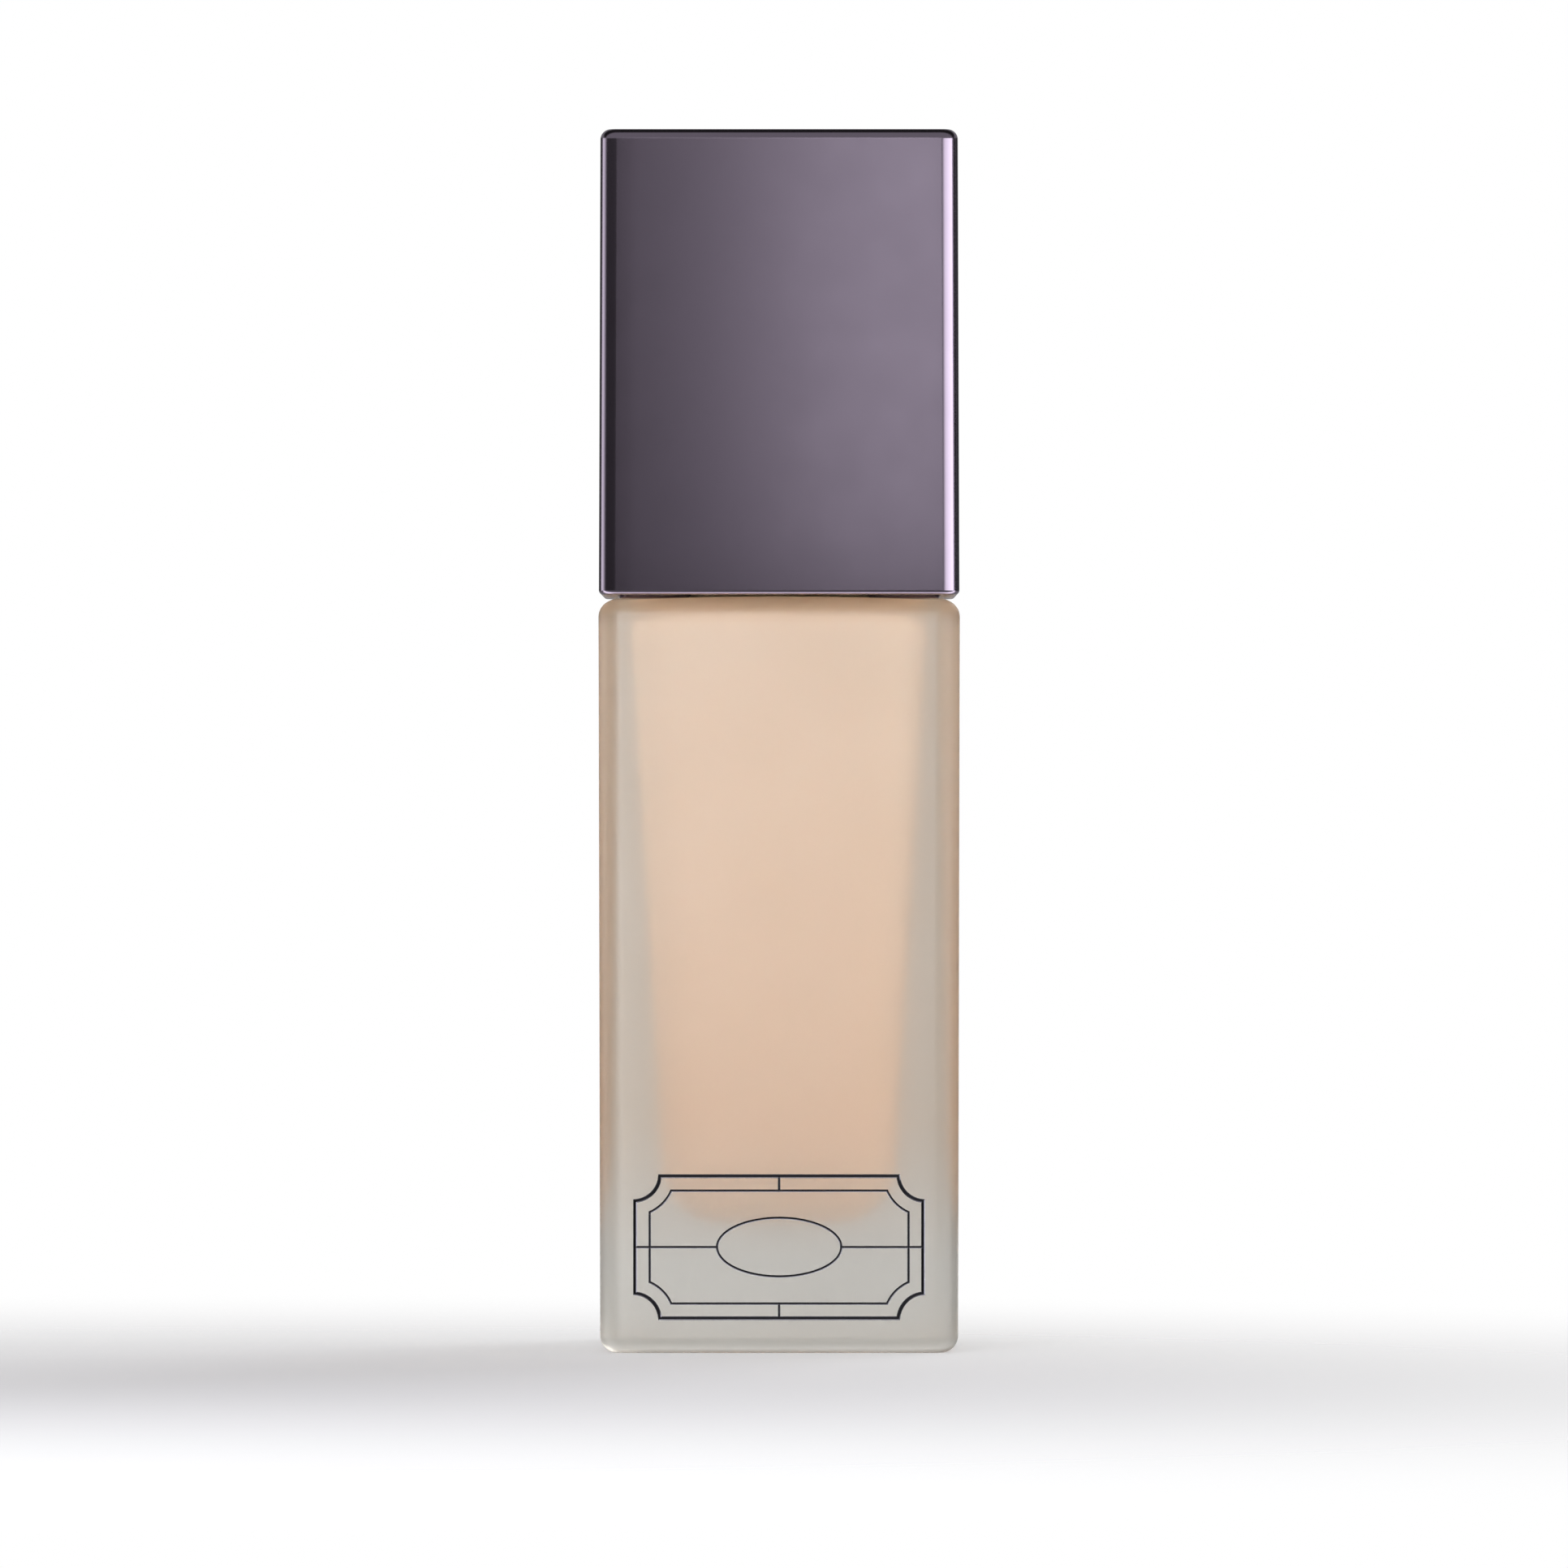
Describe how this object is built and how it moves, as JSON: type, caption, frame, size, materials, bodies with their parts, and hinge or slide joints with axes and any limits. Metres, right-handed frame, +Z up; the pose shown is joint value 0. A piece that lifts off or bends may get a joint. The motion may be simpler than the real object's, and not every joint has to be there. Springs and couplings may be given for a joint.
{
  "type": "foundation bottle",
  "caption": "Square frosted glass foundation bottle with a screw-on treatment pump and a square metallised pull-off cap.",
  "frame": {"origin": "centre of the base, on the surface that the bottle stands on", "axes": "+Z up along the bottle, the neck and the pump; the front, with the foil ornament and the nozzle, faces -Y; +X is to the right as seen from the front"},
  "size_m": [0.032, 0.032, 0.1083],
  "materials": {
    "frosted_glass": "acid-frosted outside, clear inside",
    "liquid_foundation": "smooth opaque beige cream",
    "dark_foil": "dark silver hot-stamped foil",
    "metallised_abs": "mauve gunmetal, satin metallised and lacquered",
    "white_polypropylene": "moulded, fine satin",
    "white_polyethylene": "moulded, waxy",
    "natural_polypropylene": "moulded, milky and translucent",
    "clear_polyethylene": "extruded, slightly hazy",
    "black_polypropylene": "moulded, satin gloss",
    "foam_gasket": "die-cut closed-cell foam",
    "stainless_steel": "ground and polished ball",
    "spring_steel": "drawn wire"
  },
  "bodies": {
    "bottle": {"glass_bottle": "frosted_glass", "foundation_fill": "liquid_foundation", "foil_ornament": "dark_foil"},
    "cap": {"cap_shell": "metallised_abs", "cap_liner": "white_polypropylene"},
    "pump_engine": {"neck_gasket": "foam_gasket", "pump_housing": "natural_polypropylene", "dip_tube": "clear_polyethylene", "stem_chaplet": "white_polyethylene", "return_spring": "spring_steel"},
    "inlet_valve": {"inlet_ball": "stainless_steel"},
    "collar": {"screw_closure": "black_polypropylene", "collar_shell": "metallised_abs"},
    "stem": {"lower_stem": "natural_polypropylene", "piston": "white_polyethylene", "upper_stem": "natural_polypropylene"},
    "outlet_valve": {"outlet_ball": "stainless_steel"},
    "actuator": {"actuator_body": "black_polypropylene", "actuator_shell": "metallised_abs", "nozzle_insert": "black_polypropylene"}
  },
  "joints": [
    {"name": "cap_lift", "type": "slide", "parent": "bottle", "child": "cap", "axis": [0, 0, 1], "range_m": [0, 0.045]},
    {"name": "pump_lift", "type": "slide", "parent": "bottle", "child": "pump_engine", "axis": [0, 0, 1], "range_m": [0, 0.00476]},
    {"name": "collar_turn", "type": "hinge", "parent": "pump_engine", "child": "collar", "pos_m": [0, 0, 0.074], "axis": [0, 0, 1], "range_deg": [0, 540]},
    {"name": "inlet_ball_lift", "type": "slide", "parent": "pump_engine", "child": "inlet_valve", "axis": [0, 0, 1], "range_m": [0, 0.001]},
    {"name": "pump_press", "type": "slide", "parent": "pump_engine", "child": "stem", "axis": [0, 0, -1], "range_m": [0, 0.0044], "stiffness_N_per_m": 600, "springref_m": -0.001, "deforming": ["return_spring"]},
    {"name": "outlet_ball_lift", "type": "slide", "parent": "stem", "child": "outlet_valve", "axis": [0, 0, 1], "range_m": [0, 0.0007]},
    {"name": "head_turn", "type": "hinge", "parent": "stem", "child": "actuator", "pos_m": [0, 0, 0.0885], "axis": [0, 0, 1], "continuous": true}
  ],
  "couplings": [
    {"joint": "collar_turn", "follows": "pump_lift", "rad_per_m": 1979}
  ]
}
